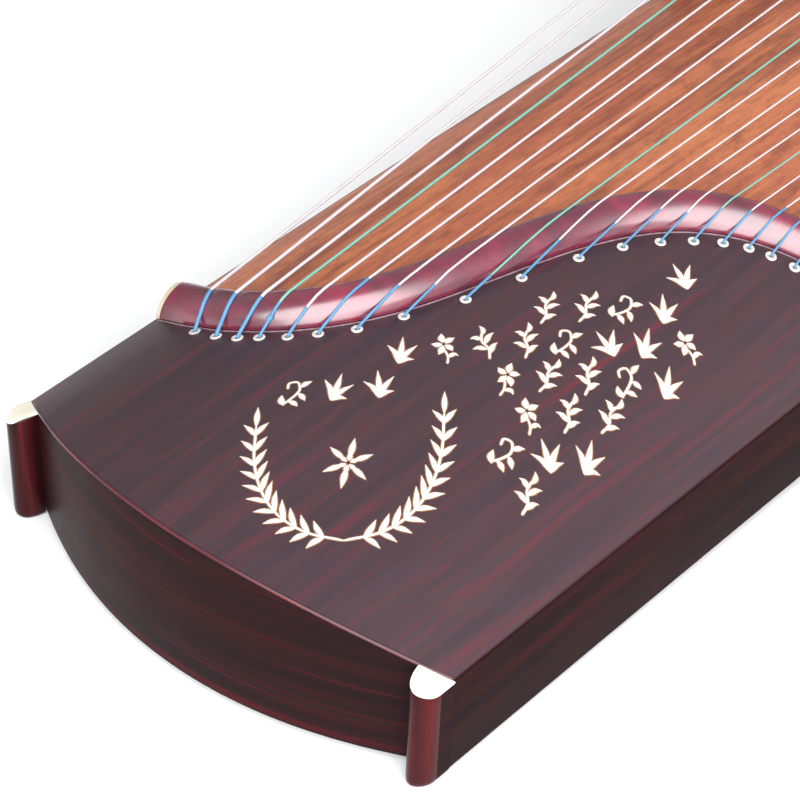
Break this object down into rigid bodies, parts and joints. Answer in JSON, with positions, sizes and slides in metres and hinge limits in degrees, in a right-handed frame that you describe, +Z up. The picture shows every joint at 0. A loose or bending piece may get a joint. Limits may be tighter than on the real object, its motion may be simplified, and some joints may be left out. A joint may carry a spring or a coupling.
{
  "type": "guzheng",
  "caption": "Long arched zither with a curved rear bridge, movable string bridges, tuning pins in a lidded head box and corner posts to stand on.",
  "frame": {"origin": "bottom centre, on the plane the four corner posts stand on", "axes": "+X along the strings towards the head with the tuning box, +Y the far bass side, +Z up"},
  "size_m": [1.6291, 0.3556, 0.1718],
  "materials": {
    "soundboard_wood": "satin lacquer, figured, orange brown",
    "panel_rosewood": "satin, dark purple brown with red streaks",
    "bridge_rosewood": "gloss lacquer, red purple",
    "side_rosewood": "satin lacquer, dark with red streaks",
    "head_rosewood": "satin",
    "back_wood": "matte oiled",
    "brace_wood": "raw sawn",
    "post_rosewood": "gloss lacquer, red brown",
    "movable_bridge_wood": "satin, polished",
    "hinge_brass": "polished",
    "pin_steel": "nickel plated",
    "string": "nylon wound over steel",
    "felt": "wool felt",
    "ivory_inlay": "polished cream",
    "string_wrap": "nylon thread",
    "string_green": "nylon"
  },
  "bodies": {
    "body": {"soundboard": "soundboard_wood", "tail_panel": "panel_rosewood", "rear_bridge": "bridge_rosewood", "side_rail_near": "side_rosewood", "side_rail_far": "side_rosewood", "tail_end_plate": "side_rosewood", "head_end_plate": "side_rosewood", "head_block": "head_rosewood", "front_bridge": "bridge_rosewood", "back_board": "back_wood", "sound_brace": "brace_wood", "post_tail_near": "post_rosewood", "post_tail_far": "post_rosewood", "post_head_near": "post_rosewood", "post_head_far": "post_rosewood", "lid_hinge_rod": "hinge_brass", "string_set": "string"},
    "lid": {"tuning_box_lid": "panel_rosewood"},
    "bridge_21": {"bridge_21": "movable_bridge_wood"},
    "bridge_20": {"bridge_20": "movable_bridge_wood"},
    "bridge_19": {"bridge_19": "movable_bridge_wood"},
    "bridge_18": {"bridge_18": "movable_bridge_wood"},
    "bridge_17": {"bridge_17": "movable_bridge_wood"},
    "bridge_16": {"bridge_16": "movable_bridge_wood"},
    "bridge_15": {"bridge_15": "movable_bridge_wood"},
    "bridge_14": {"bridge_14": "movable_bridge_wood"},
    "bridge_13": {"bridge_13": "movable_bridge_wood"},
    "bridge_12": {"bridge_12": "movable_bridge_wood"},
    "bridge_11": {"bridge_11": "movable_bridge_wood"},
    "bridge_10": {"bridge_10": "movable_bridge_wood"},
    "bridge_09": {"bridge_09": "movable_bridge_wood"},
    "bridge_08": {"bridge_08": "movable_bridge_wood"},
    "bridge_07": {"bridge_07": "movable_bridge_wood"},
    "bridge_06": {"bridge_06": "movable_bridge_wood"},
    "bridge_05": {"bridge_05": "movable_bridge_wood"},
    "bridge_04": {"bridge_04": "movable_bridge_wood"},
    "bridge_03": {"bridge_03": "movable_bridge_wood"},
    "bridge_02": {"bridge_02": "movable_bridge_wood"},
    "bridge_01": {"bridge_01": "movable_bridge_wood"},
    "tuning_pin_21": {"tuning_pin_21": "pin_steel"},
    "tuning_pin_20": {"tuning_pin_20": "pin_steel"},
    "tuning_pin_19": {"tuning_pin_19": "pin_steel"},
    "tuning_pin_18": {"tuning_pin_18": "pin_steel"},
    "tuning_pin_17": {"tuning_pin_17": "pin_steel"},
    "tuning_pin_16": {"tuning_pin_16": "pin_steel"},
    "tuning_pin_15": {"tuning_pin_15": "pin_steel"},
    "tuning_pin_14": {"tuning_pin_14": "pin_steel"},
    "tuning_pin_13": {"tuning_pin_13": "pin_steel"},
    "tuning_pin_12": {"tuning_pin_12": "pin_steel"},
    "tuning_pin_11": {"tuning_pin_11": "pin_steel"},
    "tuning_pin_10": {"tuning_pin_10": "pin_steel"},
    "tuning_pin_09": {"tuning_pin_09": "pin_steel"},
    "tuning_pin_08": {"tuning_pin_08": "pin_steel"},
    "tuning_pin_07": {"tuning_pin_07": "pin_steel"},
    "tuning_pin_06": {"tuning_pin_06": "pin_steel"},
    "tuning_pin_05": {"tuning_pin_05": "pin_steel"},
    "tuning_pin_04": {"tuning_pin_04": "pin_steel"},
    "tuning_pin_03": {"tuning_pin_03": "pin_steel"},
    "tuning_pin_02": {"tuning_pin_02": "pin_steel"},
    "tuning_pin_01": {"tuning_pin_01": "pin_steel"}
  },
  "joints": [
    {"name": "lid_hinge", "type": "hinge", "parent": "body", "child": "lid", "pos_m": [0.7865, 0, 0.10788], "axis": [0, 1, 0], "range_deg": [0, 105]},
    {"name": "bridge_21_slide", "type": "slide", "parent": "body", "child": "bridge_21", "axis": [1, 0, 0.0084], "range_m": [-0.008, 0.008], "deforming": ["string_set"]},
    {"name": "bridge_20_slide", "type": "slide", "parent": "body", "child": "bridge_20", "axis": [1, 0, 0.0069], "range_m": [-0.008, 0.008], "deforming": ["string_set"]},
    {"name": "bridge_19_slide", "type": "slide", "parent": "body", "child": "bridge_19", "axis": [1, 0, 0.0051], "range_m": [-0.008, 0.008], "deforming": ["string_set"]},
    {"name": "bridge_18_slide", "type": "slide", "parent": "body", "child": "bridge_18", "axis": [1, 0, 0.0038], "range_m": [-0.008, 0.008], "deforming": ["string_set"]},
    {"name": "bridge_17_slide", "type": "slide", "parent": "body", "child": "bridge_17", "axis": [1, 0, 0.0025], "range_m": [-0.008, 0.008], "deforming": ["string_set"]},
    {"name": "bridge_16_slide", "type": "slide", "parent": "body", "child": "bridge_16", "axis": [1, 0, 0.0012], "range_m": [-0.008, 0.008], "deforming": ["string_set"]},
    {"name": "bridge_15_slide", "type": "slide", "parent": "body", "child": "bridge_15", "axis": [1, 0, -0.0001], "range_m": [-0.008, 0.008], "deforming": ["string_set"]},
    {"name": "bridge_14_slide", "type": "slide", "parent": "body", "child": "bridge_14", "axis": [1, 0, -0.0014], "range_m": [-0.008, 0.008], "deforming": ["string_set"]},
    {"name": "bridge_13_slide", "type": "slide", "parent": "body", "child": "bridge_13", "axis": [1, 0, -0.0027], "range_m": [-0.008, 0.008], "deforming": ["string_set"]},
    {"name": "bridge_12_slide", "type": "slide", "parent": "body", "child": "bridge_12", "axis": [1, 0, -0.004], "range_m": [-0.008, 0.008], "deforming": ["string_set"]},
    {"name": "bridge_11_slide", "type": "slide", "parent": "body", "child": "bridge_11", "axis": [1, 0, -0.0053], "range_m": [-0.008, 0.008], "deforming": ["string_set"]},
    {"name": "bridge_10_slide", "type": "slide", "parent": "body", "child": "bridge_10", "axis": [1, 0, -0.0066], "range_m": [-0.008, 0.008], "deforming": ["string_set"]},
    {"name": "bridge_09_slide", "type": "slide", "parent": "body", "child": "bridge_09", "axis": [1, 0, -0.0079], "range_m": [-0.008, 0.008], "deforming": ["string_set"]},
    {"name": "bridge_08_slide", "type": "slide", "parent": "body", "child": "bridge_08", "axis": [1, 0, -0.0092], "range_m": [-0.008, 0.008], "deforming": ["string_set"]},
    {"name": "bridge_07_slide", "type": "slide", "parent": "body", "child": "bridge_07", "axis": [0.9999, 0, -0.0105], "range_m": [-0.008, 0.008], "deforming": ["string_set"]},
    {"name": "bridge_06_slide", "type": "slide", "parent": "body", "child": "bridge_06", "axis": [0.9999, 0, -0.0118], "range_m": [-0.008, 0.008], "deforming": ["string_set"]},
    {"name": "bridge_05_slide", "type": "slide", "parent": "body", "child": "bridge_05", "axis": [0.9999, 0, -0.0131], "range_m": [-0.008, 0.008], "deforming": ["string_set"]},
    {"name": "bridge_04_slide", "type": "slide", "parent": "body", "child": "bridge_04", "axis": [0.9999, 0, -0.0144], "range_m": [-0.008, 0.008], "deforming": ["string_set"]},
    {"name": "bridge_03_slide", "type": "slide", "parent": "body", "child": "bridge_03", "axis": [0.9999, 0, -0.0157], "range_m": [-0.008, 0.008], "deforming": ["string_set"]},
    {"name": "bridge_02_slide", "type": "slide", "parent": "body", "child": "bridge_02", "axis": [0.9999, 0, -0.017], "range_m": [-0.008, 0.008], "deforming": ["string_set"]},
    {"name": "bridge_01_slide", "type": "slide", "parent": "body", "child": "bridge_01", "axis": [0.9998, 0, -0.0183], "range_m": [-0.008, 0.008], "deforming": ["string_set"]},
    {"name": "tuning_pin_21_turn", "type": "hinge", "parent": "body", "child": "tuning_pin_21", "pos_m": [0.702, 0.1374, 0.04443], "axis": [0, 0, 1], "continuous": true},
    {"name": "tuning_pin_20_turn", "type": "hinge", "parent": "body", "child": "tuning_pin_20", "pos_m": [0.752, 0.1232, 0.04877], "axis": [0, 0, 1], "continuous": true},
    {"name": "tuning_pin_19_turn", "type": "hinge", "parent": "body", "child": "tuning_pin_19", "pos_m": [0.727, 0.109, 0.05397], "axis": [0, 0, 1], "continuous": true},
    {"name": "tuning_pin_18_turn", "type": "hinge", "parent": "body", "child": "tuning_pin_18", "pos_m": [0.702, 0.0948, 0.05851], "axis": [0, 0, 1], "continuous": true},
    {"name": "tuning_pin_17_turn", "type": "hinge", "parent": "body", "child": "tuning_pin_17", "pos_m": [0.752, 0.0806, 0.06083], "axis": [0, 0, 1], "continuous": true},
    {"name": "tuning_pin_16_turn", "type": "hinge", "parent": "body", "child": "tuning_pin_16", "pos_m": [0.727, 0.0664, 0.06415], "axis": [0, 0, 1], "continuous": true},
    {"name": "tuning_pin_15_turn", "type": "hinge", "parent": "body", "child": "tuning_pin_15", "pos_m": [0.702, 0.0522, 0.06685], "axis": [0, 0, 1], "continuous": true},
    {"name": "tuning_pin_14_turn", "type": "hinge", "parent": "body", "child": "tuning_pin_14", "pos_m": [0.752, 0.038, 0.06731], "axis": [0, 0, 1], "continuous": true},
    {"name": "tuning_pin_13_turn", "type": "hinge", "parent": "body", "child": "tuning_pin_13", "pos_m": [0.727, 0.0238, 0.06891], "axis": [0, 0, 1], "continuous": true},
    {"name": "tuning_pin_12_turn", "type": "hinge", "parent": "body", "child": "tuning_pin_12", "pos_m": [0.702, 0.0096, 0.06997], "axis": [0, 0, 1], "continuous": true},
    {"name": "tuning_pin_11_turn", "type": "hinge", "parent": "body", "child": "tuning_pin_11", "pos_m": [0.752, -0.0046, 0.0689], "axis": [0, 0, 1], "continuous": true},
    {"name": "tuning_pin_10_turn", "type": "hinge", "parent": "body", "child": "tuning_pin_10", "pos_m": [0.727, -0.0188, 0.06914], "axis": [0, 0, 1], "continuous": true},
    {"name": "tuning_pin_09_turn", "type": "hinge", "parent": "body", "child": "tuning_pin_09", "pos_m": [0.702, -0.033, 0.06886], "axis": [0, 0, 1], "continuous": true},
    {"name": "tuning_pin_08_turn", "type": "hinge", "parent": "body", "child": "tuning_pin_08", "pos_m": [0.752, -0.0472, 0.06636], "axis": [0, 0, 1], "continuous": true},
    {"name": "tuning_pin_07_turn", "type": "hinge", "parent": "body", "child": "tuning_pin_07", "pos_m": [0.727, -0.0614, 0.06498], "axis": [0, 0, 1], "continuous": true},
    {"name": "tuning_pin_06_turn", "type": "hinge", "parent": "body", "child": "tuning_pin_06", "pos_m": [0.702, -0.0756, 0.06296], "axis": [0, 0, 1], "continuous": true},
    {"name": "tuning_pin_05_turn", "type": "hinge", "parent": "body", "child": "tuning_pin_05", "pos_m": [0.752, -0.0898, 0.05871], "axis": [0, 0, 1], "continuous": true},
    {"name": "tuning_pin_04_turn", "type": "hinge", "parent": "body", "child": "tuning_pin_04", "pos_m": [0.727, -0.104, 0.05546], "axis": [0, 0, 1], "continuous": true},
    {"name": "tuning_pin_03_turn", "type": "hinge", "parent": "body", "child": "tuning_pin_03", "pos_m": [0.702, -0.1182, 0.05151], "axis": [0, 0, 1], "continuous": true},
    {"name": "tuning_pin_02_turn", "type": "hinge", "parent": "body", "child": "tuning_pin_02", "pos_m": [0.752, -0.1324, 0.0454], "axis": [0, 0, 1], "continuous": true},
    {"name": "tuning_pin_01_turn", "type": "hinge", "parent": "body", "child": "tuning_pin_01", "pos_m": [0.727, -0.1466, 0.04013], "axis": [0, 0, 1], "continuous": true}
  ]
}
